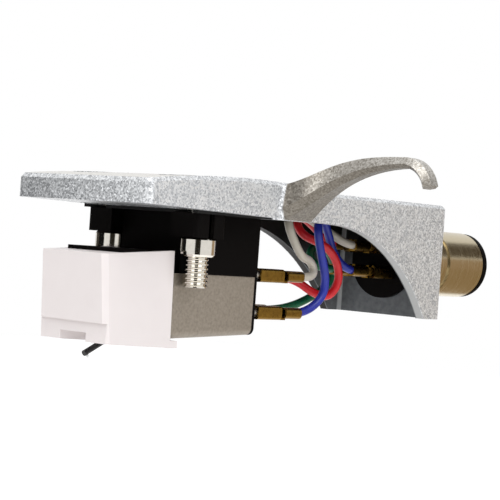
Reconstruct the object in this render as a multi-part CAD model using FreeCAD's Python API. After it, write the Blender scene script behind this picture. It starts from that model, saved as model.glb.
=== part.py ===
import FreeCAD, Part
import math
import os

V = FreeCAD.Vector

# Headshell casting, measured from the connector axis at its rear face
shell_length = 50.6
shell_front_width = 19.5
shell_rear_width = 15.5
shell_wall = 1.2
shell_corner_radius = 0.7
shell_edge_chamfer = 0.4
rear_top_z = 6.85
rear_bottom_z = -6.45
front_top_z = 6.45
crest_z = 7.5
crest_share = 0.7
crest_end_share = 0.415
crest_blend_radius = 20.0
deck_z = 3.5
deck_front_z = 4.0
pad_margin = 0.3
arch_radius = 21.0
arch_start_x = -21.1
bay_front_x = -26.0
bay_ceiling = 1.5
bay_corner_radius = 1.6
bay_rear_radius = 0.5

# Finger lift, cast in one with the near side wall
lift_front_x = -30.5
lift_root_length = 5.0
lift_root_overlap = 0.9
lift_root_rise = 0.1
lift_root_flare = 3.6
lift_root_drop = 0.9
lift_reach = 13.0
lift_top_z = 7.0
lift_rise = 3.66
lift_rise_power = 3.3
lift_sweep = 3.05
lift_sweep_power = 5.0
lift_tip_width = 2.1
lift_width_power = 5.3
lift_root_height = 3.8
lift_tip_height = 1.05
lift_taper_power = 1.67
lift_ridge_share = 0.66
lift_bevel = 0.45
lift_curl_radius = 3.0
lift_curl_angle = 69.0
lift_curl_run = 0.5
lift_first_share = 0.12
lift_stations = 6
lift_span = 14.0

# Plug that goes into the tonearm
plug_radius = 4.0
plug_bore_radius = 3.4
plug_length = 13.5
plug_spigot_radius = 3.8
plug_end_chamfer = 0.25
plug_groove_width = 0.6
plug_groove_depth = 0.25
key_pin_radius = 0.75
key_pin_height = 1.1
key_pin_chamfer = 0.25
key_pin_setback = 0.05
key_pin_x = 5.0
insulator_flange_radius = 4.5
insulator_flange_length = 0.7
insulator_overhang = 1.0
insulator_lip_radius = 3.95
insulator_end_chamfer = 0.3
contact_radius = 0.5
contact_pitch = 2.9
contact_nose = 0.35

# Screws and nuts that hold the cartridge
screw_pitch = 12.7
screw_x = -39.9
screw_radius = 1.25
screw_end_z = -4.0
screw_head_radius = 2.15
screw_head_height = 1.4
screw_foot_chamfer = 0.25
screw_head_chamfer = 0.35
screw_drive_width = 0.6
screw_drive_depth = 0.7
slot_length = 9.0
slot_clearance = 0.12
head_channel_clearance = 0.2
head_seat_height = 1.75
nut_radius = 1.85
nut_height = 1.9
nut_thread_clearance = 0.02
nut_drive_width = 0.45
nut_drive_depth = 0.5
nut_edge_chamfer = 0.2

# Cartridge body
body_width = 10.0
body_rear_x = -29.0
body_front_x = -40.4
body_bottom_z = -2.7
body_edge_radius = 0.35
ear_width = 16.2
ear_mouth = 0.75
ear_height = 2.45
ear_length = 4.4
ear_slot_clearance = 0.1
ear_corner_radius = 0.6
ear_gap = 8.8
nut_relief = 0.15
core_width = 9.0
core_front_x = -41.5
nose_front_x = -48.3
nose_width = 8.2
nose_top_z = -0.55
nose_bottom_z = -5.0
can_sheet = 0.35
can_rear_x = -29.4
can_front_bottom_z = -9.45
can_rear_bottom_z = -8.9
can_bend_radius = 0.8
end_plate_thickness = 0.4
terminal_pitch_y = 5.2
terminal_upper_z = -2.5
terminal_lower_z = -6.55
terminal_radius = 0.5
terminal_length = 6.0
terminal_depth = 2.0

# Stylus holder and its moving stylus
holder_front_x = -51.2
holder_rear_gap = 0.12
holder_top_front_z = -1.15
holder_top_rear_z = -0.45
holder_bottom_front_z = -10.0
holder_bottom_rear_z = -10.3
holder_front_lean = 0.72
holder_top_width = 9.65
holder_bottom_width = 10.2
holder_edge_chamfer = 0.5
holder_fit = 0.12
holder_step_z = -8.0
holder_step_depth = 0.2
holder_lip_length = 1.0
holder_lip_gap = 0.12
groove_width = 3.8
groove_height = 0.9
stem_width = 3.4
stem_height = 2.4
stem_wall = 0.45
stem_length = 4.0
stem_center_z = -7.55
stem_fit = 0.1
stylus_point_x = -48.0
stylus_point_z = -11.8
stylus_angle = 26.0
cantilever_radius = 0.3
cantilever_length = 5.6
cantilever_tail = 2.3
cantilever_fit = 0.06
cantilever_channel = 3.2
jewel_setback = 0.35
damper_radius = 0.72
damper_length = 1.0
damper_fit = 0.07
jewel_radius = 0.14
jewel_length = 0.4
jewel_cone = 0.22
jewel_tip_radius = 0.0175
magnet_side = 0.42
magnet_length = 1.3
magnet_spread = 0.5

# Leads with a slip-on clip at each end
lead_radius = 0.48
clip_sheet = 0.22
clip_barrel_length = 3.8
clip_neck_length = 0.9
clip_neck_width = 0.9
clip_crimp_length = 2.6
clip_slit = 0.45
clip_fit = 0.03
clip_barrel_x = -26.7
clip_plug_x = -2.0
lead_grip = 1.4
lead_exit = 1.0
lead_sides = 6

# Overlap of fused pieces, reach of cuts past a face, and the tolerance for finding edges
joint_overlap = 0.5
cut_margin = 1.0
edge_tolerance = 1e-4

# Values that follow from the sizes above
shell_front_x = -shell_length
crest_x = -crest_share * shell_length
crest_end_x = -crest_end_share * shell_length
slot_width = 2 * (screw_radius + slot_clearance)
channel_width = 2 * (screw_head_radius + head_channel_clearance)
head_seat_z = deck_z + head_seat_height
ear_bottom_z = deck_z - ear_height
bay_top_z = rear_top_z - bay_ceiling
clip_length = clip_barrel_length + clip_neck_length + clip_crimp_length
stylus_slope = math.radians(stylus_angle)
stylus_dir = V(-math.cos(stylus_slope), 0, -math.sin(stylus_slope))
stylus_normal = V(-math.sin(stylus_slope), 0, math.cos(stylus_slope))
jewel_drop = cantilever_radius + jewel_length
stylus_point = V(stylus_point_x, 0, stylus_point_z)
cantilever_end = stylus_point + stylus_normal * jewel_drop + stylus_dir * jewel_setback
pivot = cantilever_end - stylus_dir * cantilever_length
plug_seat_x = key_pin_x + 2 * key_pin_radius


def half_width(x):
    rear = shell_rear_width / 2
    front = shell_front_width / 2
    return rear + (front - rear) * (-x / shell_length)


def box(x0, x1, y0, y1, z0, z1):
    return Part.makeBox(x1 - x0, y1 - y0, z1 - z0, V(x0, y0, z0))


def rod(radius, start, end):
    axis = end - start
    return Part.makeCylinder(radius, axis.Length, start, axis)


def prism(points, direction):
    return Part.Face(Part.makePolygon(points + [points[0]])).extrude(direction)


def side_outline():
    arch_center_z = deck_z - arch_radius
    toe_x = arch_start_x + math.sqrt(arch_radius ** 2 - (rear_bottom_z - arch_center_z) ** 2)
    turn = math.atan2(toe_x - arch_start_x, rear_bottom_z - arch_center_z) / 2
    mid = V(arch_start_x + arch_radius * math.sin(turn), 0, arch_center_z + arch_radius * math.cos(turn))
    front_top = V(shell_front_x, 0, front_top_z)
    crest = V(crest_x, 0, crest_z)
    crest_arc = Part.Arc(front_top, crest, V(crest_end_x, 0, rear_top_z)).toShape().Curve
    hub, reach = crest_arc.Center, crest_arc.Radius + crest_blend_radius
    blend_z = rear_top_z + crest_blend_radius
    blend_hub = V(hub.x + math.sqrt(reach ** 2 - (blend_z - hub.z) ** 2), 0, blend_z)
    meet = hub + (blend_hub - hub) * (crest_arc.Radius / reach)
    land = V(blend_hub.x, 0, rear_top_z)
    sag = ((meet - blend_hub).normalize() + V(0, 0, -1)).normalize()
    rear_top = V(0, 0, rear_top_z)
    rear_bottom = V(0, 0, rear_bottom_z)
    toe = V(toe_x, 0, rear_bottom_z)
    arch_start = V(arch_start_x, 0, deck_z)
    front_bottom = V(shell_front_x, 0, deck_front_z)
    edges = [
        Part.Arc(front_top, crest, meet).toShape(),
        Part.Arc(meet, blend_hub + sag * crest_blend_radius, land).toShape(),
        Part.makeLine(land, rear_top),
        Part.makeLine(rear_top, rear_bottom),
        Part.makeLine(rear_bottom, toe),
        Part.Arc(toe, mid, arch_start).toShape(),
        Part.makeLine(arch_start, front_bottom),
        Part.makeLine(front_bottom, front_top),
    ]
    return Part.Face(Part.Wire(edges))


def plan_prism(inset, x0, x1, z0, z1):
    corners = [(x0, -1), (x1, -1), (x1, 1), (x0, 1)]
    points = [V(x, side * (half_width(x) - inset), z0) for x, side in corners]
    return prism(points, V(0, 0, z1 - z0))


def upright(edge):
    a, b = edge.Vertexes[0].Point, edge.Vertexes[-1].Point
    return abs(a.x - b.x) + abs(a.y - b.y) < edge_tolerance


def on_top_rim(edge):
    inside = shell_front_x + shell_corner_radius < edge.CenterOfMass.x < -shell_corner_radius
    seam = inside and edge.BoundBox.XLength < shell_edge_chamfer
    return edge.BoundBox.ZMin > (deck_z + front_top_z) / 2 and not seam


def lift_section(t):
    y = -half_width(lift_front_x) - lift_span * t
    x_front = lift_front_x + lift_sweep * (1 - (1 - t) ** lift_sweep_power)
    width = lift_tip_width + (lift_root_length - lift_tip_width) * (1 - t) ** lift_width_power
    z_top = lift_top_z + lift_rise * (1 - (1 - t) ** lift_rise_power)
    height = lift_tip_height + (lift_root_height - lift_tip_height) * (1 - t) ** lift_taper_power
    return lift_ring(y, x_front, x_front + width, z_top - height, z_top)


def lift_ring(y, x0, x1, z0, z1):
    ridge_z = z1 - lift_ridge_share * (z1 - z0)
    points = [
        V(x0, y, ridge_z), V(x0 + lift_bevel, y, z1), V(x1 - lift_bevel, y, z1),
        V(x1, y, ridge_z), V(x1 - lift_bevel, y, z0), V(x0 + lift_bevel, y, z0),
    ]
    return Part.makePolygon(points + [points[0]])


def finger_lift():
    root_y = lift_root_overlap - half_width(lift_front_x)
    root_end = lift_front_x + lift_root_length
    root_front = lift_front_x - lift_root_flare
    root = lift_ring(root_y, root_front, root_end, deck_z - lift_root_drop, rear_top_z + lift_root_rise)
    first, last = lift_first_share, lift_reach / lift_span
    steps = [first + (last - first) * i / (lift_stations - 1) for i in range(lift_stations)]
    rings = [root] + [lift_section(t) for t in steps]
    arm = Part.makeLoft(rings, True, False)
    end = Part.Face(rings[-1])
    hub = V(0, end.BoundBox.YMax, end.CenterOfMass.z - lift_curl_radius)
    curl = end.revolve(hub, V(1, 0, 0), lift_curl_angle)
    turned = end.copy()
    turned.rotate(hub, V(1, 0, 0), lift_curl_angle)
    angle = math.radians(lift_curl_angle)
    tip = turned.extrude(V(0, -math.cos(angle), -math.sin(angle)) * lift_curl_run)
    below = box(shell_front_x, 0, -shell_front_width, 0, rear_bottom_z, deck_z)
    return arm.fuse([curl, tip]).cut(below).removeSplitter()


def screw_slots():
    cuts = []
    for side in (-1, 1):
        for width, z0 in ((slot_width, deck_z - cut_margin), (channel_width, head_seat_z)):
            run = slot_length - slot_width
            x0, x1 = screw_x - run / 2, screw_x + run / 2
            y = side * screw_pitch / 2
            top = crest_z + cut_margin
            cuts.append(box(x0, x1, y - width / 2, y + width / 2, z0, top))
            for x in (x0, x1):
                cuts.append(Part.makeCylinder(width / 2, top - z0, V(x, y, z0)))
    return cuts


def cartridge_pad():
    x0 = screw_x - ear_length / 2 - pad_margin
    half = ear_width / 2 + pad_margin
    return box(x0, body_rear_x + pad_margin, -half, half, deck_z, head_seat_z)


def headshell():
    half = shell_front_width
    slab = side_outline()
    slab.translate(V(0, -half, 0))
    blank = slab.extrude(V(0, 2 * half, 0))
    plan = plan_prism(0, shell_front_x, 0, rear_bottom_z, crest_z + cut_margin)
    plan = plan.makeFillet(shell_corner_radius, [e for e in plan.Edges if upright(e)])
    shell = blank.common(plan).removeSplitter()
    shell = shell.makeChamfer(shell_edge_chamfer, [e for e in shell.Edges if on_top_rim(e)])
    bay = plan_prism(shell_wall, bay_front_x, -shell_wall, rear_bottom_z - cut_margin, bay_top_z)
    front = [e for e in bay.Edges if upright(e) and e.CenterOfMass.x < bay_front_x / 2]
    bay = bay.makeFillet(bay_corner_radius, front)
    rear = [e for e in bay.Edges if upright(e) and e.CenterOfMass.x > bay_front_x / 2]
    bay = bay.makeFillet(bay_rear_radius, rear)
    shell = shell.fuse([finger_lift(), cartridge_pad()])
    plug_hole = rod(plug_spigot_radius, V(-2 * shell_wall, 0, 0), V(shell_wall, 0, 0))
    return shell.cut([bay, plug_hole] + screw_slots()).removeSplitter()


def connector_sleeve():
    sleeve = rod(plug_radius, V(0, 0, 0), V(plug_length, 0, 0))
    rear = [e for e in sleeve.Edges if abs(e.CenterOfMass.x - plug_length) < edge_tolerance]
    sleeve = sleeve.makeChamfer(plug_end_chamfer, rear)
    spigot = rod(plug_spigot_radius, V(-shell_wall, 0, 0), V(0, 0, 0))
    bore = rod(plug_bore_radius, V(-shell_wall, 0, 0), V(plug_length, 0, 0))
    key_hole = rod(key_pin_radius, V(key_pin_x, 0, 0), V(key_pin_x, 0, 2 * plug_radius))
    groove_start = V(plug_seat_x - plug_groove_width, 0, 0)
    groove = rod(2 * plug_radius, groove_start, V(plug_seat_x, 0, 0))
    groove = groove.cut(rod(plug_radius - plug_groove_depth, groove_start, V(plug_seat_x, 0, 0)))
    return sleeve.fuse(spigot).cut([bore, key_hole, groove]).removeSplitter()


def bayonet_pin():
    top = plug_radius + key_pin_height
    pin = rod(key_pin_radius, V(key_pin_x, 0, plug_bore_radius + key_pin_setback), V(key_pin_x, 0, top))
    crown = [e for e in pin.Edges if abs(e.CenterOfMass.z - top) < edge_tolerance]
    return pin.makeChamfer(key_pin_chamfer, crown)


def contact_places():
    half = contact_pitch / 2
    return [(y, z) for y in (-half, half) for z in (half, -half)]


def terminal_block():
    flange_x = -shell_wall - insulator_flange_length
    flange = rod(insulator_flange_radius, V(flange_x, 0, 0), V(-shell_wall, 0, 0))
    block = rod(plug_bore_radius, V(-shell_wall, 0, 0), V(plug_length, 0, 0))
    end_x = plug_length + insulator_overhang
    lip = rod(insulator_lip_radius, V(plug_length, 0, 0), V(end_x, 0, 0))
    rim = [e for e in lip.Edges if abs(e.CenterOfMass.x - end_x) < edge_tolerance]
    lip = lip.makeChamfer(insulator_end_chamfer, rim)
    holes = [rod(contact_radius, V(flange_x, y, z), V(end_x, y, z)) for y, z in contact_places()]
    return block.fuse([flange, lip]).removeSplitter().cut(holes)


def contact_pins():
    start = clip_plug_x - clip_barrel_length
    end = plug_length + insulator_overhang + contact_nose
    pins = []
    for y, z in contact_places():
        pins.append(rod(contact_radius, V(start, y, z), V(end, y, z)))
    return Part.makeCompound(pins)


def mounting_screws():
    screws = []
    for side in (-1, 1):
        y = side * screw_pitch / 2
        shank = rod(screw_radius, V(screw_x, y, screw_end_z), V(screw_x, y, head_seat_z))
        foot = [e for e in shank.Edges if abs(e.CenterOfMass.z - screw_end_z) < edge_tolerance]
        shank = shank.makeChamfer(screw_foot_chamfer, foot)
        head_top = head_seat_z + screw_head_height
        head = rod(screw_head_radius, V(screw_x, y, head_seat_z), V(screw_x, y, head_top))
        crown = [e for e in head.Edges if abs(e.CenterOfMass.z - head_top) < edge_tolerance]
        head = head.makeChamfer(screw_head_chamfer, crown)
        reach = 2 * screw_head_radius
        half = screw_drive_width / 2
        drive_z = head_top - screw_drive_depth
        drive = box(screw_x - reach, screw_x + reach, y - half, y + half, drive_z, head_top + cut_margin)
        screws.append(shank.fuse(head.cut(drive)).removeSplitter())
    return Part.makeCompound(screws)


def mounting_nuts():
    nuts = []
    for side in (-1, 1):
        y = side * screw_pitch / 2
        foot_z = ear_bottom_z - nut_height
        nut = rod(nut_radius, V(screw_x, y, foot_z), V(screw_x, y, ear_bottom_z))
        rims = [e for e in nut.Edges if e.Closed and len(e.Vertexes) == 1]
        nut = nut.makeChamfer(nut_edge_chamfer, rims)
        low, high = V(screw_x, y, foot_z - cut_margin), V(screw_x, y, ear_bottom_z + cut_margin)
        bore = rod(screw_radius + nut_thread_clearance, low, high)
        reach = 2 * nut_radius
        half = nut_drive_width / 2
        drive = box(screw_x - reach, screw_x + reach, y - half, y + half, low.z, foot_z + nut_drive_depth)
        nuts.append(nut.cut([bore, drive]))
    return Part.makeCompound(nuts)


def can_bottom_z(x):
    share = (x - core_front_x) / (can_rear_x - core_front_x)
    return can_front_bottom_z + (can_rear_bottom_z - can_front_bottom_z) * share


def core_block(width, x0, x1, lift):
    points = [
        V(x0, -width / 2, body_bottom_z), V(x1, -width / 2, body_bottom_z),
        V(x1, -width / 2, can_bottom_z(x1) + lift), V(x0, -width / 2, can_bottom_z(x0) + lift),
    ]
    return prism(points, V(0, width, 0))


def stem_hollow(grow):
    half_y = stem_width / 2 + grow
    half_z = stem_height / 2 + grow
    x1 = core_front_x + stem_length + grow
    low, high = stem_center_z - half_z, stem_center_z + half_z
    return box(core_front_x - cut_margin, x1, -half_y, half_y, low, high)


def terminal_places():
    half = terminal_pitch_y / 2
    return [(y, z) for y in (-half, half) for z in (terminal_upper_z, terminal_lower_z)]


def cartridge_body():
    half = body_width / 2
    upper = box(body_front_x, body_rear_x, -half, half, body_bottom_z, deck_z)
    upper = upper.makeFillet(body_edge_radius, [e for e in upper.Edges if upright(e)])
    ear_half = ear_width / 2
    ears = box(screw_x - ear_length / 2, screw_x + ear_length / 2, -ear_half, ear_half, ear_bottom_z, deck_z)
    ears = ears.makeFillet(ear_corner_radius, [e for e in ears.Edges if upright(e)])
    low, high = ear_bottom_z - cut_margin, deck_z + cut_margin
    notch = box(screw_x - ear_length, body_front_x, -ear_gap / 2, ear_gap / 2, low, high)
    slots = []
    reliefs = []
    radius = screw_radius + ear_slot_clearance
    for side in (-1, 1):
        y = side * screw_pitch / 2
        slots.append(rod(radius, V(screw_x, y, low), V(screw_x, y, high)))
        outer = side * ear_width
        mouth = box(-ear_mouth / 2, ear_mouth / 2, min(y, outer), max(y, outer), low, high)
        mouth.translate(V(screw_x, 0, 0))
        slots.append(mouth)
        relief_radius = nut_radius + nut_relief
        reliefs.append(rod(relief_radius, V(screw_x, y, body_bottom_z), V(screw_x, y, ear_bottom_z)))
    upper = upper.cut(reliefs)
    core = core_block(core_width, core_front_x, can_rear_x, can_sheet)
    nose = box(nose_front_x, core_front_x, -nose_width / 2, nose_width / 2, nose_bottom_z, nose_top_z)
    front = [e for e in nose.Edges if upright(e) and e.CenterOfMass.x < (nose_front_x + core_front_x) / 2]
    nose = nose.makeFillet(body_edge_radius, front)
    bridge = box(core_front_x, body_front_x, -nose_width / 2, nose_width / 2, nose_bottom_z, nose_top_z)
    holes = []
    for y, z in terminal_places():
        deep, clear = V(body_rear_x - terminal_depth, y, z), V(body_rear_x + cut_margin, y, z)
        holes.append(rod(terminal_radius, deep, clear))
    body = upper.fuse([ears.cut([notch] + slots), core, nose, bridge])
    return body.cut(holes + [stem_hollow(stem_fit)]).removeSplitter()


def shield_can():
    outer = core_block(core_width + 2 * can_sheet, core_front_x, can_rear_x, 0)
    half = core_width / 2
    low = [e for e in outer.Edges if abs(e.CenterOfMass.y) > half and e.BoundBox.XLength > half
           and e.CenterOfMass.z < body_bottom_z - can_bend_radius]
    outer = outer.makeFillet(can_bend_radius, low)
    return outer.cut(core_block(core_width, core_front_x - cut_margin, can_rear_x + cut_margin, can_sheet))


def end_plate():
    half = core_width / 2 + can_sheet
    x0, x1 = can_rear_x, can_rear_x + end_plate_thickness
    plate = box(x0, x1, -half, half, can_rear_bottom_z, body_bottom_z)
    low = [e for e in plate.Edges if e.BoundBox.XLength > end_plate_thickness - edge_tolerance
           and e.CenterOfMass.z < body_bottom_z - can_bend_radius]
    plate = plate.makeFillet(can_bend_radius, low)
    upper = box(x0, x1, -half, half, body_bottom_z, deck_z)
    holes = []
    for y, z in terminal_places():
        holes.append(rod(terminal_radius, V(x0 - cut_margin, y, z), V(x1 + cut_margin, y, z)))
    return plate.cut(holes + [upper])


def terminal_pins():
    pins = []
    for y, z in terminal_places():
        end = body_rear_x + terminal_length
        pins.append(rod(terminal_radius, V(body_rear_x - terminal_depth, y, z), V(end, y, z)))
    return Part.makeCompound(pins)


def stylus_frame(shape):
    angle = math.degrees(stylus_slope)
    shape.rotate(V(0, 0, 0), V(0, 1, 0), -angle)
    shape.translate(pivot)
    return shape


def along_stylus(radius, back, front):
    return rod(radius, pivot - stylus_dir * back, pivot + stylus_dir * front)


def stylus_holder():
    rear_x = core_front_x - holder_rear_gap
    bottom_x = holder_front_x + holder_front_lean
    top_half, bottom_half = holder_top_width / 2, holder_bottom_width / 2
    ends = (
        (holder_front_x, holder_top_front_z, bottom_x, holder_bottom_front_z),
        (rear_x, holder_top_rear_z, rear_x, holder_bottom_rear_z),
    )
    rings = []
    for x_top, z_top, x_bottom, z_bottom in ends:
        ring = [V(x_top, -top_half, z_top), V(x_top, top_half, z_top),
                V(x_bottom, bottom_half, z_bottom), V(x_bottom, -bottom_half, z_bottom)]
        rings.append(Part.makePolygon(ring + [ring[0]]))
    block = Part.makeLoft(rings, True, True)
    front = [e for e in block.Edges if e.BoundBox.ZLength > stem_height and e.CenterOfMass.x < nose_front_x]
    block = block.makeChamfer(holder_edge_chamfer, front)
    before, under = holder_front_x - cut_margin, holder_bottom_rear_z - cut_margin
    step_x = bottom_x + holder_step_depth
    step = box(before, step_x, -holder_bottom_width, holder_bottom_width, under, holder_step_z)
    pocket_half = nose_width / 2 + holder_fit
    pocket = box(nose_front_x - holder_fit, rear_x + cut_margin, -pocket_half, pocket_half,
                 nose_bottom_z - holder_fit, holder_top_rear_z + cut_margin)
    groove_half, groove_z = groove_width / 2, holder_bottom_front_z + groove_height
    groove = box(before, pivot.x - damper_length, -groove_half, groove_half, under, groove_z)
    half_y, half_z = stem_width / 2, stem_height / 2
    stem_end = core_front_x + stem_length
    root_x = rear_x - joint_overlap
    stem = box(root_x, stem_end, -half_y, half_y, stem_center_z - half_z, stem_center_z + half_z)
    in_y, in_z = half_y - stem_wall, half_z - stem_wall
    hollow_x = pivot.x + damper_length
    hollow = box(hollow_x, stem_end + cut_margin, -in_y, in_y, stem_center_z - in_z, stem_center_z + in_z)
    seat = along_stylus(damper_radius + damper_fit, cantilever_channel, cantilever_channel)
    lip = box(root_x, rear_x + holder_lip_length, -bottom_half, bottom_half,
              holder_bottom_rear_z, can_front_bottom_z - holder_lip_gap)
    return block.cut(step).fuse([stem, lip]).cut([pocket, groove, hollow, seat]).removeSplitter()


def damper():
    ring = along_stylus(damper_radius, damper_length / 2, damper_length / 2)
    return ring.cut(along_stylus(cantilever_radius + cantilever_fit, damper_length, damper_length))


def cantilever():
    return along_stylus(cantilever_radius, cantilever_tail, cantilever_length)


def jewel():
    top = pivot + stylus_dir * (cantilever_length - jewel_setback)
    down = stylus_normal * -1
    start = top + down * cantilever_radius
    shank_end = start + down * (jewel_length - jewel_cone)
    shank = rod(jewel_radius, start, shank_end)
    point = Part.makeCone(jewel_radius, jewel_tip_radius, jewel_cone, shank_end, down)
    return shank.fuse(point).removeSplitter()


def magnets():
    bars = []
    start = cantilever_tail
    half = magnet_side / 2
    for side in (-1, 1):
        bar = box(start, start + magnet_length, -half, half, -half, half)
        bar.translate(V(0, side * magnet_spread / 2, 0))
        bars.append(stylus_frame(bar))
    return Part.makeCompound(bars)


def square_tube(inner, outer, x0, x1):
    tube = box(x0, x1, -outer, outer, -outer, outer)
    return tube.cut(box(x0 - outer, x1 + outer, -inner, inner, -inner, inner))


def clip(lead_side):
    inner = terminal_radius + clip_fit
    outer = inner + clip_sheet
    crimp_inner = lead_radius + clip_fit
    crimp_start = clip_barrel_length + clip_neck_length
    barrel = square_tube(inner, outer, 0, clip_barrel_length)
    crimp = square_tube(crimp_inner, crimp_inner + clip_sheet, crimp_start, clip_length)
    neck = box(0, clip_length, -clip_neck_width / 2, clip_neck_width / 2, -outer, -inner)
    slit = box(0, clip_barrel_length, -clip_slit / 2, clip_slit / 2, 0, outer)
    shape = barrel.cut(slit).fuse([crimp, neck]).removeSplitter()
    if lead_side < 0:
        shape.rotate(V(0, 0, 0), V(0, 0, 1), 180)
    return shape


def cartridge_clips():
    clips = []
    for y, z in terminal_places():
        shape = clip(1)
        shape.translate(V(clip_barrel_x, y, z))
        clips.append(shape)
    return Part.makeCompound(clips)


def plug_clips():
    clips = []
    for y, z in contact_places():
        shape = clip(-1)
        shape.translate(V(clip_plug_x, y, z))
        clips.append(shape)
    return Part.makeCompound(clips)


def lead(name, start, route, end):
    far_y = terminal_pitch_y / 2
    start_x = clip_barrel_x + clip_length
    end_x = clip_plug_x - clip_length
    first = [V(start_x + x, start[0], start[1]) for x in (-lead_grip, lead_exit)]
    last = [V(end_x + x, end[0], end[1]) for x in (-lead_exit, lead_grip)]
    points = first + [V(bay_front_x * u, far_y * v, bay_top_z * w) for u, v, w in route] + last
    bend_share = 0.45
    radii = []
    edges = []
    here = points[0]
    for before, corner, after in zip(points, points[1:], points[2:]):
        a, b = before - corner, after - corner
        turn = math.pi - a.getAngle(b)
        reach = bend_share * min(a.Length, b.Length)
        radius = reach / math.tan(turn / 2)
        radii.append(radius)
        arc_start = corner + a.normalize() * reach
        arc_end = corner + b.normalize() * reach
        bisector = (a + b).normalize()
        middle = corner + bisector * (radius / math.cos(turn / 2) - radius)
        edges.append(Part.makeLine(here, arc_start))
        edges.append(Part.Arc(arc_start, middle, arc_end).toShape())
        here = arc_end
    edges.append(Part.makeLine(here, points[-1]))
    path = Part.Wire(edges)
    turns = [2 * math.pi * (i + 0.5) / lead_sides for i in range(lead_sides)]
    rim = [points[0] + V(0, math.cos(turn), math.sin(turn)) * lead_radius for turn in turns]
    section = Part.makePolygon(rim + [rim[0]])
    tube = path.makePipeShell([section], True, False)
    ideal = Part.Face(section).Area * path.Length
    print(name, "length", round(path.Length, 2), "volume ratio", round(tube.Volume / ideal, 4),
          "radii", [round(r, 1) for r in radii])
    return tube


def leads():
    near, far = -terminal_pitch_y / 2, terminal_pitch_y / 2
    left, right = -contact_pitch / 2, contact_pitch / 2
    high, low = contact_pitch / 2, -contact_pitch / 2
    white = [(0.658, -0.942, -0.411), (0.646, -0.827, -0.243), (0.681, -0.865, -0.103),
             (0.746, -1.038, -0.056), (0.8, -1.135, 0.15), (0.865, -1.173, 0.542), (0.846, -0.923, 0.822),
             (0.715, -0.385, 0.879), (0.577, 0.038, 0.729), (0.469, 0, 0.542)]
    blue = [(0.604, -1.115, -0.879), (0.6, -1.192, -0.449), (0.65, -1.231, 0.056), (0.688, -1.269, 0.523),
            (0.654, -1.038, 0.841), (0.588, -0.654, 0.841), (0.515, -0.423, 0.486), (0.458, -0.269, 0.093)]
    red = [(0.562, 0.846, -0.561), (0.504, 0.269, -0.822), (0.477, -0.385, -0.879),
           (0.442, -0.615, -0.561), (0.458, -0.654, -0.187), (0.515, -0.635, 0.131), (0.585, -0.538, 0.28),
           (0.665, -0.231, 0.411), (0.669, 0.154, 0.673), (0.592, 0.462, 0.822), (0.477, 0.596, 0.561)]
    green = [(0.562, 1.058, -1.14), (0.419, 1.115, -0.916), (0.315, 1.192, -0.692), (0.254, 1.212, -0.299),
             (0.3, 1.212, 0.093), (0.4, 1.192, 0.243), (0.469, 1, 0.075), (0.469, 0.731, -0.187)]
    return {
        "lead_white": lead("lead_white", (near, terminal_upper_z), white, (left, high)),
        "lead_blue": lead("lead_blue", (near, terminal_lower_z), blue, (left, low)),
        "lead_red": lead("lead_red", (far, terminal_upper_z), red, (right, high)),
        "lead_green": lead("lead_green", (far, terminal_lower_z), green, (right, low)),
    }


pieces = {
    "headshell": headshell(),
    "connector_sleeve": connector_sleeve(),
    "bayonet_pin": bayonet_pin(),
    "terminal_block": terminal_block(),
    "contact_pins": contact_pins(),
    "mounting_screws": mounting_screws(),
    "mounting_nuts": mounting_nuts(),
    "cartridge_body": cartridge_body(),
    "shield_can": shield_can(),
    "end_plate": end_plate(),
    "terminal_pins": terminal_pins(),
    "stylus_holder": stylus_holder(),
    "damper": damper(),
    "cantilever": cantilever(),
    "stylus_jewel": jewel(),
    "stylus_magnets": magnets(),
    "cartridge_clips": cartridge_clips(),
    "plug_clips": plug_clips(),
}
pieces.update(leads())

os.makedirs("parts", exist_ok=True)
for node, shape in pieces.items():
    print(node, "solids", len(shape.Solids), "volume", round(shape.Volume, 3), "valid", shape.isValid())
    shape.translate(V(-plug_seat_x, 0, 0))
    shape.exportStep("parts/" + node + ".step")
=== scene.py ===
import bpy
import bmesh
import math
from mathutils import Matrix, Vector


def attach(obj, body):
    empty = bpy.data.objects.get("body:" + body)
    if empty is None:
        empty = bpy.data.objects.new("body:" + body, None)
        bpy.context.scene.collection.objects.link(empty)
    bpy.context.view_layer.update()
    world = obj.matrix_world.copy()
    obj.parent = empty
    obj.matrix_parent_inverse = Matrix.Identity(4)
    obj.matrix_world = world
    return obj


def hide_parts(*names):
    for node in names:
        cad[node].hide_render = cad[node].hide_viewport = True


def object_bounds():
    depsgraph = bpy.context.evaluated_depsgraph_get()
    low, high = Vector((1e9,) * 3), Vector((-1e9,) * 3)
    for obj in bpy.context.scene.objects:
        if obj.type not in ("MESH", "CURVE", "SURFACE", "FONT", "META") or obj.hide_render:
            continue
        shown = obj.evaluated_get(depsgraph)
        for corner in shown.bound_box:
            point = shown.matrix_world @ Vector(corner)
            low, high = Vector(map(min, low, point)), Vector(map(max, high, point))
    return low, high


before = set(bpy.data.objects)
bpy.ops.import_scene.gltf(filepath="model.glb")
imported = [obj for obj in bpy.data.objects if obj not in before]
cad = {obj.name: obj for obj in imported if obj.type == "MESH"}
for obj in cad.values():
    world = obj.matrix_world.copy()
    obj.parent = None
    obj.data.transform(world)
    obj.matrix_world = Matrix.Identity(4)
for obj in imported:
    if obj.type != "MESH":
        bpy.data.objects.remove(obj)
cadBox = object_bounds()
mm = 0.001
print("frame loaded:", len(cad), "nodes")


def srgb(code):  # sRGB hex to linear RGBA
    parts = [int(code[i:i + 2], 16) / 255 for i in (1, 3, 5)]
    return [p / 12.92 if p <= 0.04045 else ((p + 0.055) / 1.055) ** 2.4 for p in parts] + [1.0]


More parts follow.
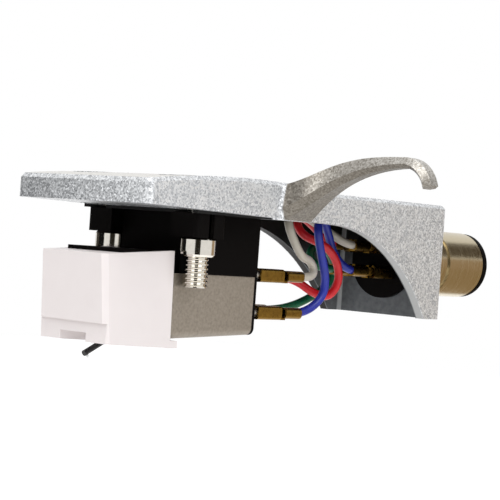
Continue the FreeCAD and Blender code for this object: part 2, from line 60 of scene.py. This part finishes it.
def addNode(tree, kind, inputs=None, **settings):  # one node, its settings, and its values or links
    node = tree.nodes.new(kind)
    for name, value in settings.items():
        setattr(node, name, value)
    for name, value in (inputs or {}).items():
        if isinstance(value, bpy.types.NodeSocket):
            tree.links.new(value, node.inputs[name])
        else:
            node.inputs[name].default_value = value
    return node


def startMaterial(name):
    material = bpy.data.materials.new(name)
    material.use_nodes = True
    return material, material.node_tree.nodes["Principled BSDF"]


def perMm(size):  # texture scale for a pattern of that size in millimetres
    return 1 / (size * mm)


# sparkle silver paint on a die casting: each flake lies at its own tilt, so neighbours flash or go dark,
# under a thin clear coat; faces that look up get a painted cream reflection, the finger lift is painted
# darker and browner as painted shade with a painted highlight on its upper side, the arch edges and the bay
# are smooth and dull, the near edge with a painted highlight, the far edge and the bay with painted shade and
# the bay's rear corner with a painted highlight; the flakes are drawn coarser than real ones so that they
# show
sparkle = {
    "flake": 0.17, "paint": ("#95979a", "#f0f2f4"),  # darkest, then brightest flake
    # finger lift: painted shade, then a painted highlight on its upward faces, each as darkest then brightest
    # flake
    "paintedLiftShade": ("#5a544b", "#7c766d"), "paintedLiftHighlight": ("#8d8880", "#d6d3cd"),
    "tilt": (0.32, 0.1), "metallic": (0.5, 0.75), "roughness": (0.42, 0.34),  # fresh, then worn
    "coat": 0.15, "coatRoughness": 0.2,
    "peel": 1.1, "peelDetail": 3.0, "peelDepth": 0.02, "peelStrength": 0.5,
    # a painted cream reflection on faces that look up, and the share and rise of the lift's painted highlight
    "top": "#d2cdc4", "topShare": 0.6, "topRise": (0.7, 0.95), "paintedLiftHighlightShare": 0.8, "paintedLiftHighlightRise": (0.05, 0.5),
    # painted shade in the bay, darkest then lightest, mottled by a noise grain; then the smooth zones'
    # roughness
    "paintedBayShade": ("#505356", "#7d8083"), "bayShadeGrain": 0.6, "bayShadeDetail": 4.0, "smoothZoneRoughness": 0.75,
    # a painted highlight on the near arch's cut edge, painted shade on the far one and in the upper bay, a
    # painted highlight along the bay's rear corner; the seat is near black
    "paintedHighlightNearEdge": "#b9bab9", "paintedShadeFarEdge": "#1f1d1b", "shade": "#1b1917", "corner": "#a9abac", "seat": "#0a0909",
    # places on the casting in millimetres
    "liftSide": -9.12, "liftFront": -39.1, "fade": 0.1, "edge": 0.08, "shadeLow": -1.5, "shadeHigh": 2.0,
    "bayFront": -32.5, "bayRear": -7.65, "bayTop": 5.4, "cornerX": -8.15, "cornerSide": 6.25,
    "wallInner": 6.39, "wallOuter": 7.38, "wallTaper": 0.0395,
    "seatRear": -35.05, "seatSide": 8.6, "seatLevel": 3.02, "seatSlope": 0.01695, "seatEdge": 0.02,
}


def sparkleZones(tree, coords):  # where the lift, the bay with its arch edges and rear corner, and the seat lie; all but the seat carry painted shade or painted highlights
    s = sparkle
    edge = s["edge"]
    place = addNode(tree, "ShaderNodeSeparateXYZ", {"Vector": coords})
    x, y, z = (place.outputs[axis] for axis in "XYZ")
    out = addNode(tree, "ShaderNodeMath", {0: y}, operation="ABSOLUTE").outputs[0]
    taper = {0: x, 1: s["wallTaper"], 2: out}
    slope = {0: x, 1: s["seatSlope"], 2: z}
    aside = addNode(tree, "ShaderNodeMath", taper, operation="MULTIPLY_ADD").outputs[0]
    level = addNode(tree, "ShaderNodeMath", slope, operation="MULTIPLY_ADD").outputs[0]
    run = [(x, s["bayFront"] - edge, s["bayFront"]), (x, s["bayRear"] + edge, s["bayRear"]),
           (z, s["bayTop"] + edge, s["bayTop"])]
    inside = run + [(aside, s["wallInner"] + edge, s["wallInner"])]
    walls = run + [(aside, s["wallOuter"] + edge, s["wallOuter"])]
    limits = {  # a zone fades in from the first to the second place of each of its limits
        "lift": [(y, s["liftSide"], s["liftSide"] - s["fade"]),
                 (x, s["liftFront"], s["liftFront"] + s["fade"])],
        "bay": inside,
        "shade": inside + [(z, s["shadeLow"], s["shadeHigh"])],
        "paintedHighlightNearEdge": walls + [(y, edge, 0)],
        "paintedShadeFarEdge": walls + [(y, 0, edge)],
        # a thin painted highlight along the bay's rear corner
        "corner": run + [(x, s["cornerX"] - edge, s["cornerX"]),
                         (y, s["cornerSide"], s["cornerSide"] + edge)],
        "seat": [(x, s["seatRear"], s["seatRear"] - edge), (out, s["seatSide"] + edge, s["seatSide"]),
                 (level, s["seatLevel"], s["seatLevel"] - s["seatEdge"])],
    }
    zones = {}
    for name, sides in limits.items():
        zones[name] = 1.0
        for value, start, end in sides:
            ramp = addNode(tree, "ShaderNodeMapRange", {"Value": value, "From Min": start * mm,
                                                        "From Max": end * mm})
            both = addNode(tree, "ShaderNodeMath", {0: zones[name], 1: ramp.outputs[0]}, operation="MULTIPLY")
            zones[name] = both.outputs[0]
    return zones


def sparklePaint():
    s = sparkle
    material, shader = startMaterial("sparkleSilverPaint")
    tree = material.node_tree
    coords = addNode(tree, "ShaderNodeTexCoord").outputs["Object"]
    cells = addNode(tree, "ShaderNodeTexVoronoi", {"Vector": coords, "Scale": perMm(s["flake"])})
    flakes = cells.outputs["Color"]
    shade = addNode(tree, "ShaderNodeSeparateColor", {"Color": flakes}).outputs["Red"]
    cast = addNode(tree, "ShaderNodeTexNoise", {"Vector": coords, "Scale": perMm(s["bayShadeGrain"]),
                                                "Detail": s["bayShadeDetail"]})
    facing = addNode(tree, "ShaderNodeNewGeometry").outputs["Normal"]
    rise = addNode(tree, "ShaderNodeSeparateXYZ", {"Vector": facing}).outputs["Z"]
    zones = sparkleZones(tree, coords)
    # faces that look up: a painted cream reflection on the casting and a painted highlight on the lift
    for name in ("top", "paintedLiftHighlight"):
        start, end = s[name + "Rise"]
        upward = {"Value": rise, "From Min": start, "From Max": end, "To Max": s[name + "Share"]}
        zones[name] = addNode(tree, "ShaderNodeMapRange", upward).outputs[0]
    tones = {}
    # flake tones, the lift's painted shade and painted highlight, and the bay's painted shade mottled by
    # noise
    for name, factor in (("paint", shade), ("paintedLiftShade", shade), ("paintedLiftHighlight", shade), ("paintedBayShade", cast.outputs["Fac"])):
        dark, light = (srgb(code) for code in s[name])
        tone = {"Factor": factor, 6: dark, 7: light}
        tones[name] = addNode(tree, "ShaderNodeMix", tone, data_type="RGBA").outputs[2]
    # the lift: painted shade, turned into a painted highlight on its upward faces
    lift = {"Factor": zones["paintedLiftHighlight"], 6: tones["paintedLiftShade"], 7: tones["paintedLiftHighlight"]}
    layers = {"lift": addNode(tree, "ShaderNodeMix", lift, data_type="RGBA").outputs[2], "bay": tones["paintedBayShade"]}
    colour = tones["paint"]
    # painted reflection, painted highlights and painted shade laid over the flakes, zone by zone
    for name in ("top", "lift", "paintedHighlightNearEdge", "paintedShadeFarEdge", "bay", "shade", "corner", "seat"):
        layer = {"Factor": zones[name], 6: colour, 7: layers[name] if name in layers else srgb(s[name])}
        colour = addNode(tree, "ShaderNodeMix", layer, data_type="RGBA").outputs[2]
    smooth = zones["bay"]
    for name in ("paintedHighlightNearEdge", "paintedShadeFarEdge", "seat"):
        smooth = addNode(tree, "ShaderNodeMath", {0: smooth, 1: zones[name]}, operation="MAXIMUM").outputs[0]
    aged = {}
    for name in ("tilt", "metallic", "roughness"):
        fresh, used = s[name]
        wear = addNode(tree, "ShaderNodeMapRange", {"Value": zones["lift"], "To Min": fresh, "To Max": used})
        aged[name] = wear.outputs[0]
    rough = addNode(tree, "ShaderNodeMapRange", {"Value": smooth, "To Min": aged["roughness"],
                                                 "To Max": s["smoothZoneRoughness"]})
    lean = addNode(tree, "ShaderNodeMapRange", {"Value": smooth, "To Min": aged["tilt"], "To Max": 0.0})
    tilt = addNode(tree, "ShaderNodeVectorMath", {0: flakes, 1: (0.5, 0.5, 0.5)}, operation="SUBTRACT")
    tilt = addNode(tree, "ShaderNodeVectorMath", {0: tilt.outputs[0], "Scale": lean.outputs[0]},
                   operation="SCALE")
    peel = addNode(tree, "ShaderNodeTexNoise", {"Vector": coords, "Scale": perMm(s["peel"]),
                                                "Detail": s["peelDetail"]})
    bump = addNode(tree, "ShaderNodeBump", {"Height": peel.outputs["Fac"], "Strength": s["peelStrength"],
                                            "Distance": s["peelDepth"] * mm})
    normal = addNode(tree, "ShaderNodeVectorMath", {0: bump.outputs[0], 1: tilt.outputs[0]}, operation="ADD")
    normal = addNode(tree, "ShaderNodeVectorMath", {0: normal.outputs[0]}, operation="NORMALIZE")
    tree.links.new(colour, shader.inputs["Base Color"])
    tree.links.new(normal.outputs[0], shader.inputs["Normal"])
    tree.links.new(aged["metallic"], shader.inputs["Metallic"])
    tree.links.new(rough.outputs[0], shader.inputs["Roughness"])
    shader.inputs["Coat Weight"].default_value = s["coat"]
    shader.inputs["Coat Roughness"].default_value = s["coatRoughness"]
    return material


# plain materials: common name, how it was made, colours, gloss; grain and bump are in millimetres, and a
# stretch under 1 draws the grain out along that axis
finishes = {
    "turnedNickel": {"low": "#b9ac8e", "high": "#c9bda2", "grain": 0.12, "stretch": (1, 0.02, 0.02),
                     "metallic": 1.0, "roughness": 0.24, "bump": 0.0006,
                     "specular": 0.5},  # faint lathe rings
    "mouldedBlackAbs": {"low": "#060505", "high": "#0d0a09", "grain": 0.35, "metallic": 0.0,
                        "roughness": 0.55, "bump": 0.01,
                        "specular": 0.04},  # spark-eroded mould skin, soft sheen
    "goldPlate": {"low": "#61491e", "high": "#93722f", "grain": 0.4, "metallic": 1.0, "roughness": 0.3,
                  "bump": 0.01, "specular": 0.5},  # thin plate over folded sheet, uneven in tone
    "brightNickel": {"low": "#cfcac0", "high": "#e2ded6", "grain": 0.5, "metallic": 1.0, "roughness": 0.1,
                     "bump": 0.004, "specular": 0.5},  # mirror bright, slightly warm
    "satinNickelIron": {"low": "#71695e", "high": "#aba296", "grain": 0.3, "metallic": 0.75,
                        "roughness": 0.5, "bump": 0.01, "specular": 0.4},  # annealed sheet, faintly mottled
    "tinPlate": {"low": "#a8a5a0", "high": "#c9c6bf", "grain": 0.4, "metallic": 1.0, "roughness": 0.34,
                 "bump": 0.006, "specular": 0.5},  # dull grey plate
    "mouldedWhiteAbs": {"low": "#e9e1e0", "high": "#efe8e7", "grain": 2.5, "metallic": 0.0, "roughness": 0.4,
                        "bump": 0.008, "specular": 0.35},  # soft gloss, faint sink marks
    "softRubber": {"low": "#141414", "high": "#202020", "grain": 0.2, "metallic": 0.0, "roughness": 0.7,
                   "bump": 0.01, "specular": 0.3},  # matt and dark
    "carbonPlastic": {"low": "#0e0e0e", "high": "#1b1b1b", "grain": 0.12, "metallic": 0.0, "roughness": 0.45,
                      "bump": 0.008, "specular": 0.35},  # short fibres in black
    "polishedJewel": {"low": "#d9dcdc", "high": "#eef0f0", "grain": 0.1, "metallic": 0.0, "roughness": 0.08,
                      "bump": 0.0005, "specular": 0.8},  # a clear spark at the point
    "sinteredMagnet": {"low": "#55565a", "high": "#6e6f74", "grain": 0.15, "metallic": 0.6, "roughness": 0.5,
                       "bump": 0.006, "specular": 0.5},  # pressed powder, dull
}
# extruded vinyl insulation, aged to a soft gloss, one dye for each lead
for dye, low, high in (("white", "#b9b1a2", "#d3ccbf"), ("blue", "#1a2488", "#2c3ab0"),
                       ("red", "#c4121c", "#e6242e"), ("green", "#0a5238", "#12704c")):
    finishes[dye + "Vinyl"] = {"low": low, "high": high, "grain": 0.8, "metallic": 0.0, "roughness": 0.36,
                               "bump": 0.008, "specular": 0.4}
# what the plain materials share: the grain also swings their roughness
grainLook = {"detail": 4.0, "start": 0.3, "end": 0.7, "swing": 0.15, "strength": 0.4}


def plainFinish(name):
    look = finishes[name]
    material, shader = startMaterial(name)
    tree = material.node_tree
    coords = addNode(tree, "ShaderNodeTexCoord").outputs["Object"]
    drawn = addNode(tree, "ShaderNodeMapping", {"Vector": coords, "Scale": look.get("stretch", (1, 1, 1))})
    grain = addNode(tree, "ShaderNodeTexNoise", {"Vector": drawn.outputs[0], "Scale": perMm(look["grain"]),
                                                 "Detail": grainLook["detail"]}).outputs["Fac"]
    colour = addNode(tree, "ShaderNodeMix", {"Factor": grain, 6: srgb(look["low"]), 7: srgb(look["high"])},
                     data_type="RGBA")
    matt = {"Value": grain, "From Min": grainLook["start"], "From Max": grainLook["end"],
            "To Min": (1 - grainLook["swing"]) * look["roughness"],
            "To Max": (1 + grainLook["swing"]) * look["roughness"]}
    rough = addNode(tree, "ShaderNodeMapRange", matt)
    bump = addNode(tree, "ShaderNodeBump", {"Height": grain, "Strength": grainLook["strength"],
                                            "Distance": look["bump"] * mm})
    tree.links.new(colour.outputs[2], shader.inputs["Base Color"])
    tree.links.new(rough.outputs[0], shader.inputs["Roughness"])
    tree.links.new(bump.outputs[0], shader.inputs["Normal"])
    shader.inputs["Metallic"].default_value = look["metallic"]
    shader.inputs["Specular IOR Level"].default_value = look["specular"]
    return material


materials = {name: plainFinish(name) for name in finishes}
materials["sparkleSilverPaint"] = sparklePaint()
print("materials made:", len(materials))

nodeFinish = {
    "headshell": "sparkleSilverPaint", "connector_sleeve": "turnedNickel", "bayonet_pin": "turnedNickel",
    "terminal_block": "mouldedBlackAbs", "contact_pins": "goldPlate", "mounting_screws": "brightNickel",
    "mounting_nuts": "brightNickel", "cartridge_body": "mouldedBlackAbs", "shield_can": "satinNickelIron",
    "end_plate": "mouldedBlackAbs", "terminal_pins": "tinPlate", "stylus_holder": "mouldedWhiteAbs",
    "damper": "softRubber", "cantilever": "carbonPlastic", "stylus_jewel": "polishedJewel",
    "stylus_magnets": "sinteredMagnet", "cartridge_clips": "goldPlate", "plug_clips": "goldPlate",
    "lead_white": "whiteVinyl", "lead_blue": "blueVinyl", "lead_red": "redVinyl", "lead_green": "greenVinyl",
}
for node, finish in nodeFinish.items():
    cad[node].data.materials.clear()
    cad[node].data.materials.append(materials[finish])

sharpAngle = 35  # degrees; edges that turn more than this stay crisp


def addPiece(name, bm, finish, body):  # bmesh to a finished piece at the origin
    mesh = bpy.data.meshes.new(name)
    for face in bm.faces:
        face.smooth = True
    bm.to_mesh(mesh)
    bm.free()
    mesh.set_sharp_from_angle(angle=math.radians(sharpAngle))
    piece = bpy.data.objects.new(name, mesh)
    bpy.context.scene.collection.objects.link(piece)
    mesh.materials.append(materials[finish])
    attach(piece, body)
    return piece


# four leads: the route of each between its two clips, in millimetres
leads = {
    "radius": 0.48, "roundSteps": 6, "lengthSteps": 10, "curveOrder": 3,
    "startX": -27.3, "straightX": -24.9, "turnX": -16.8, "endX": -14.4,
    "white": {"from": (-2.6, -2.5), "to": (-1.45, 1.45), "through": [
        (-23.6, -2.45, -2.2), (-23.3, -2.15, -1.3), (-24.2, -2.25, -0.55), (-25.9, -2.7, -0.3),
        (-27.3, -2.95, 0.8), (-29.0, -3.05, 2.9), (-28.5, -2.4, 4.4), (-25.1, -1.0, 4.7),
        (-21.5, 0.1, 3.9), (-18.7, 0.0, 2.9)]},
    "blue": {"from": (-2.6, -6.55), "to": (-1.45, -1.45), "through": [
        (-22.2, -2.9, -4.7), (-22.1, -3.1, -2.4), (-23.4, -3.2, 0.3), (-24.4, -3.3, 2.8), (-23.5, -2.7, 4.5),
        (-21.8, -1.7, 4.5), (-19.9, -1.1, 2.6), (-18.4, -0.7, 0.5)]},
    "red": {"from": (2.6, -2.5), "to": (1.45, 1.45), "through": [
        (-21.1, 2.2, -3.0), (-19.6, 0.7, -4.4), (-18.9, -1.0, -4.7), (-18.0, -1.6, -3.0), (-18.4, -1.7, -1.0),
        (-19.9, -1.65, 0.7), (-21.7, -1.4, 1.5), (-23.8, -0.6, 2.2), (-23.9, 0.4, 3.6), (-21.9, 1.2, 4.4),
        (-18.9, 1.55, 3.0)]},
    "green": {"from": (2.6, -6.55), "to": (1.45, -1.45), "through": [
        (-21.1, 2.75, -6.1), (-17.4, 2.9, -4.9), (-14.7, 3.1, -3.7), (-13.1, 3.15, -1.6), (-14.3, 3.15, 0.5),
        (-16.9, 3.1, 1.3), (-18.7, 2.6, 0.4), (-18.7, 1.9, -1.0)]},
}


def makeLead(colour):
    lead = leads[colour]
    first = [(leads["startX"], *lead["from"]), (leads["straightX"], *lead["from"])]
    last = [(leads["turnX"], *lead["to"]), (leads["endX"], *lead["to"])]
    points = first + lead["through"] + last
    curve = bpy.data.curves.new(colour + "Lead", "CURVE")
    curve.dimensions = "3D"
    curve.bevel_depth = leads["radius"] * mm
    curve.bevel_resolution = leads["roundSteps"]
    curve.resolution_u = leads["lengthSteps"]
    curve.use_fill_caps = True
    spline = curve.splines.new("NURBS")
    spline.points.add(len(points) - 1)
    for knot, point in zip(spline.points, points):
        knot.co = (*(Vector(point) * mm), 1)
    spline.order_u = leads["curveOrder"]
    spline.use_endpoint_u = True
    piece = bpy.data.objects.new(colour + "Lead", curve)
    bpy.context.scene.collection.objects.link(piece)
    curve.materials.append(materials[colour + "Vinyl"])
    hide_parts("lead_" + colour)
    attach(piece, "shell_and_cartridge")


for colour in ("white", "blue", "red", "green"):
    makeLead(colour)
print("leads routed")

# two cheese-head screws with a rolled M2.5 thread, in millimetres; flank gives the shares of the pitch where
# the tooth leaves its root and meets its crest
screw = {
    "x": -46.4, "sideY": 6.35, "endZ": -4.0, "seatZ": 5.25, "threadTop": 1.05, "shank": 1.2,
    "major": 1.25, "minor": 1.09, "pitch": 0.45, "flank": (0.1, 0.38), "spareTurns": 2,
    "headRadius": 2.15, "headHeight": 1.4, "headRound": 0.3, "slotWidth": 0.6, "slotDepth": 0.7,
    "stepsPerTurn": 36, "roundSteps": 4, "sides": 64, "weld": 0.0001,
}


def joinInto(whole, bm):  # one part's mesh moves into the whole
    mesh = bpy.data.meshes.new("part")
    bm.to_mesh(mesh)
    bm.free()
    whole.from_mesh(mesh)
    bpy.data.meshes.remove(mesh)


def cutAndClose(bm, place, way, **side):  # cuts along a plane and fills the rim
    everything = bm.verts[:] + bm.edges[:] + bm.faces[:]
    cut = bmesh.ops.bisect_plane(bm, geom=everything, plane_co=place, plane_no=way, **side)
    rim = [item for item in cut["geom_cut"] if isinstance(item, bmesh.types.BMEdge)]
    bmesh.ops.holes_fill(bm, edges=rim)


def addThread(bm, centre):
    pitch, turnSteps = screw["pitch"], screw["stepsPerTurn"]
    start = screw["endZ"] - screw["spareTurns"] * pitch  # the spare turns are cut off below
    turns = math.ceil((screw["threadTop"] - start) / pitch) + 1
    root, crest = screw["flank"]
    minor, major = screw["minor"], screw["major"]
    tooth = [(minor, 0.0), (minor, root), (major, crest), (major, 1 - crest), (minor, 1 - root), (minor, 1.0)]
    verts = [bm.verts.new((centre[0] + radius * mm, centre[1], (start + share * pitch) * mm))
             for radius, share in tooth]
    edges = [bm.edges.new(pair) for pair in zip(verts, verts[1:])]
    bmesh.ops.spin(bm, geom=verts + edges, cent=(*centre, 0), axis=(0, 0, 1), angle=2 * math.pi * turns,
                   steps=turns * turnSteps, dvec=(0, 0, pitch * mm / turnSteps))
    bmesh.ops.remove_doubles(bm, verts=bm.verts, dist=screw["weld"] * mm)
    for height, up in ((screw["endZ"], -1), (screw["threadTop"], 1)):
        cutAndClose(bm, (0, 0, height * mm), (0, 0, up), clear_outer=True)
    bmesh.ops.recalc_face_normals(bm, faces=bm.faces)


def addDisc(bm, centre, low, high, radius, rounded):  # a turned disc; rounded is its top edge's radius
    middleZ = (low + high) / 2 * mm
    made = bmesh.ops.create_cone(bm, cap_ends=True, segments=screw["sides"], radius1=radius * mm,
                                 radius2=radius * mm, depth=(high - low) * mm)["verts"]
    bmesh.ops.translate(bm, verts=made, vec=(*centre, middleZ))
    top = [e for e in bm.edges if all(v.co.z > middleZ for v in e.verts)]
    if rounded:
        bmesh.ops.bevel(bm, geom=top, offset=rounded * mm, offset_type="OFFSET", segments=screw["roundSteps"],
                        profile=0.5, affect="EDGES", material=-1)


def makeScrews():
    whole = bmesh.new()
    top = screw["seatZ"] + screw["headHeight"]
    floor = top - screw["slotDepth"]
    for side in (-1, 1):
        centre = (screw["x"] * mm, side * screw["sideY"] * mm)
        thread, base, nearHalf, farHalf, shank = (bmesh.new() for i in range(5))
        addThread(thread, centre)
        addDisc(base, centre, screw["seatZ"], floor, screw["headRadius"], 0)
        addDisc(shank, centre, screw["threadTop"], screw["seatZ"], screw["shank"], 0)
        for way, half in ((-1, nearHalf), (1, farHalf)):
            addDisc(half, centre, floor, top, screw["headRadius"], screw["headRound"])
            slotSide = centre[1] + way * screw["slotWidth"] / 2 * mm
            cutAndClose(half, (0, slotSide, 0), (0, way, 0), clear_inner=True)
        for bm in (thread, base, nearHalf, farHalf, shank):
            joinInto(whole, bm)
    piece = addPiece("threadedScrews", whole, "brightNickel", "shell_and_cartridge")
    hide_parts("mounting_screws")


makeScrews()
print("screws threaded")

# folded sheet clips, in millimetres: a square barrel with a slit, a narrow neck and a crimp on the lead
clips = {
    "barrel": 3.8, "neck": 0.9, "crimp": 2.6, "half": 0.74, "crimpHalf": 0.62, "sheet": 0.2,
    "slit": 0.42, "crimpSlit": 0.1, "neckWidth": 0.9, "fold": 0.32, "crimpFold": 0.5, "foldSteps": 4,
    "cartridge": {"x": -33.2, "way": 1,
                  "places": [(-2.6, -2.5), (-2.6, -6.55), (2.6, -2.5), (2.6, -6.55)]},
    "plug": {"x": -8.5, "way": -1,
             "places": [(-1.45, 1.45), (-1.45, -1.45), (1.45, 1.45), (1.45, -1.45)]},
}


def addFold(bm, outline, folds, radius, start, length):  # a strip bent to an outline and drawn along X
    verts = [bm.verts.new((start * mm, y * mm, z * mm)) for y, z in outline]
    edges = [bm.edges.new(pair) for pair in zip(verts, verts[1:])]
    drawn = bmesh.ops.extrude_edge_only(bm, edges=edges)["geom"]
    far = [item for item in drawn if isinstance(item, bmesh.types.BMVert)]
    bmesh.ops.translate(bm, verts=far, vec=(length * mm, 0, 0))
    corners = [e for i in folds for e in verts[i].link_edges if e.other_vert(verts[i]) in set(far)]
    if corners:
        bmesh.ops.bevel(bm, geom=corners, offset=radius * mm, offset_type="OFFSET",
                        segments=clips["foldSteps"], profile=0.5, affect="EDGES", material=-1)
    bmesh.ops.recalc_face_normals(bm, faces=bm.faces)


def makeClips(where, node):
    row = clips[where]
    whole = bmesh.new()
    h, c, w = clips["half"], clips["crimpHalf"], clips["neckWidth"] / 2
    square = [(clips["slit"] / 2, h), (h, h), (h, -h), (-h, -h), (-h, h), (-clips["slit"] / 2, h)]
    closed = [(clips["crimpSlit"] / 2, c), (c, c), (c, -c), (-c, -c), (-c, c), (-clips["crimpSlit"] / 2, c)]
    strip = [(w, -h), (-w, -h)]
    corners = range(1, 5)
    runs = [(square, corners, clips["fold"], 0, clips["barrel"]),
            (strip, (), 0, clips["barrel"], clips["neck"]),
            (closed, corners, clips["crimpFold"], clips["barrel"] + clips["neck"], clips["crimp"])]
    turn = Matrix.Rotation(0 if row["way"] > 0 else math.pi, 4, "Z")
    for y, z in row["places"]:
        place = Matrix.Translation(Vector((row["x"], y, z)) * mm) @ turn
        for outline, folds, radius, start, length in runs:
            bm = bmesh.new()
            addFold(bm, outline, folds, radius, start, length)
            bmesh.ops.solidify(bm, geom=bm.faces, thickness=clips["sheet"] * mm)
            bmesh.ops.recalc_face_normals(bm, faces=bm.faces)
            bmesh.ops.transform(bm, matrix=place, verts=bm.verts)
            joinInto(whole, bm)
    piece = addPiece(where + "FoldedClips", whole, "goldPlate", "shell_and_cartridge")
    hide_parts(node)


makeClips("cartridge", "cartridge_clips")
makeClips("plug", "plug_clips")
print("clips folded")

# studio, in metres: pale floor well below the part, white surroundings, soft lamps each side of the camera
middle = Vector((-31.68, 0, 0.13)) * mm
studio = {"floorDrop": 0.034, "floorSize": 0.9, "floorColour": "#f4f4f4", "floorRoughness": 0.9,
          "floorGlow": 0.6, "ambient": 0.36, "white": "#ffffff"}


def addBoard(name, size, matrix, material):  # a flat board for the stage
    bm = bmesh.new()
    bmesh.ops.create_grid(bm, x_segments=1, y_segments=1, size=0.5)
    bmesh.ops.scale(bm, vec=(*size, 1), verts=bm.verts)
    bmesh.ops.transform(bm, matrix=matrix, verts=bm.verts)
    mesh = bpy.data.meshes.new(name)
    bm.to_mesh(mesh)
    bm.free()
    mesh.materials.append(material)
    board = bpy.data.objects.new(name, mesh)
    bpy.context.scene.collection.objects.link(board)
    return board


def seenRays(tree):  # 1 where the camera, a reflection or clear stuff looks, 0 where light only falls
    path = addNode(tree, "ShaderNodeLightPath").outputs
    seen = path["Is Camera Ray"]
    for ray in ("Is Glossy Ray", "Is Transmission Ray"):
        seen = addNode(tree, "ShaderNodeMath", {0: seen, 1: path[ray]}, operation="MAXIMUM").outputs[0]
    return seen


def makeStudio():
    material, shader = startMaterial("paleFloor")
    tree = material.node_tree
    shader.inputs["Base Color"].default_value = srgb(studio["floorColour"])
    shader.inputs["Roughness"].default_value = studio["floorRoughness"]
    glow = addNode(tree, "ShaderNodeMath", {0: seenRays(tree), 1: studio["floorGlow"]}, operation="MULTIPLY")
    tree.links.new(glow.outputs[0], shader.inputs["Emission Strength"])
    shader.inputs["Emission Color"].default_value = srgb(studio["white"])
    low = Vector((middle.x, middle.y, cadBox[0][2] - studio["floorDrop"]))
    floor = addBoard("floor", (studio["floorSize"], studio["floorSize"]), Matrix.Translation(low), material)
    world = bpy.data.worlds.new("studio")
    bpy.context.scene.world = world
    world.use_nodes = True
    tree = world.node_tree
    level = addNode(tree, "ShaderNodeMapRange", {"Value": seenRays(tree), "To Min": studio["ambient"],
                                                 "To Max": 1.0})
    tree.links.new(level.outputs[0], tree.nodes["Background"].inputs["Strength"])
    tree.nodes["Background"].inputs["Color"].default_value = srgb(studio["white"])


makeStudio()


def around(azimuth, elevation, distance, centre=middle):  # a place round the part, angles as the camera's
    a, e = math.radians(azimuth), math.radians(elevation)
    return centre + distance * Vector((math.sin(a) * math.cos(e), -math.cos(a) * math.cos(e), math.sin(e)))


# lamps: angles in degrees, distance and size in metres, power in watts; each looks at the part's middle
lamps = {
    "leftLamp": {"azimuth": -88, "elevation": 38, "distance": 0.5, "size": 0.3, "power": 0.88},
    "rightLamp": {"azimuth": -6, "elevation": 38, "distance": 0.5, "size": 0.3, "power": 1.1},
    "topLamp": {"azimuth": -47, "elevation": 72, "distance": 0.5, "size": 0.3, "power": 0.8},
}
for name, lamp in lamps.items():
    light = bpy.data.lights.new(name, "AREA")
    light.size = lamp["size"]
    light.energy = lamp["power"]
    holder = bpy.data.objects.new(name, light)
    holder.location = around(lamp["azimuth"], lamp["elevation"], lamp["distance"])
    holder.rotation_euler = (middle - holder.location).to_track_quat("-Z", "Y").to_euler()
    bpy.context.scene.collection.objects.link(holder)
print("studio lit by", len(lamps), "lamps")

# dim cards that only reflections see, in degrees and metres: round the camera, far left, by the far end of
# the front, and three by the plug
plugMiddle = Vector((4, 0, 0)) * mm
farFront = Vector((-57.1, 9, 5)) * mm
cards = {
    "cameraCard": {"centre": middle, "azimuth": -47, "elevation": 0, "distance": 0.34,
                   "size": (0.2, 0.24), "colour": "#2a2721"},
    "leftCard": {"centre": middle, "azimuth": -157, "elevation": 0, "distance": 0.34,
                 "size": (0.2, 0.3), "colour": "#4a4641"},
    "frontCard": {"centre": farFront, "azimuth": -132.6, "elevation": 0, "distance": 0.01,
                  "size": (0.016, 0.016), "colour": "#181818"},
    "plugHighCard": {"centre": plugMiddle, "azimuth": 64, "elevation": 29, "distance": 0.09,
                     "size": (0.056, 0.042), "colour": "#4d4130"},
    "plugSideCard": {"centre": plugMiddle, "azimuth": 52, "elevation": -7, "distance": 0.085,
                     "size": (0.07, 0.062), "colour": "#b39c80"},
    "plugLowCard": {"centre": plugMiddle, "azimuth": 72, "elevation": -42, "distance": 0.058,
                    "size": (0.08, 0.08), "colour": "#ab9472"},
}
for name, card in cards.items():
    material, shader = startMaterial(name)
    shader.inputs["Base Color"].default_value = srgb("#000000")
    shader.inputs["Specular IOR Level"].default_value = 0.0
    shader.inputs["Emission Color"].default_value = srgb(card["colour"])
    shader.inputs["Emission Strength"].default_value = 1.0
    place = around(card["azimuth"], card["elevation"], card["distance"], card["centre"])
    facing = (card["centre"] - place).to_track_quat("Z", "Y").to_matrix().to_4x4()
    board = addBoard(name, card["size"], Matrix.Translation(place) @ facing, material)
    board.visible_camera = False
    board.visible_diffuse = False
    board.visible_shadow = False
print("cards hung:", len(cards))

# camera, fitted to the photograph's straight edges, in degrees and millimetres
lens = {"azimuth": -47.39, "elevation": 0.24, "roll": 4.13, "distance": 196.39, "focalPixels": 1787.81,
        "framePixels": 500, "sensor": 36, "nearest": 10}


def makeCamera():
    r = math.radians(lens["roll"])
    place = around(lens["azimuth"], lens["elevation"], lens["distance"] * mm)
    back = (place - middle).normalized()
    right = Vector((0, 0, 1)).cross(back).normalized()
    up = back.cross(right)
    turnedRight = right * math.cos(r) + up * math.sin(r)
    turnedUp = up * math.cos(r) - right * math.sin(r)
    data = bpy.data.cameras.new("photoCamera")
    data.sensor_width = lens["sensor"]
    data.lens = lens["focalPixels"] / lens["framePixels"] * data.sensor_width
    data.clip_start = lens["nearest"] * mm
    camera = bpy.data.objects.new("photoCamera", data)
    turn = Matrix((turnedRight, turnedUp, back)).transposed().to_4x4()
    camera.matrix_world = Matrix.Translation(place) @ turn
    bpy.context.scene.collection.objects.link(camera)
    bpy.context.scene.camera = camera


makeCamera()
bpy.context.scene.view_settings.view_transform = "Standard"
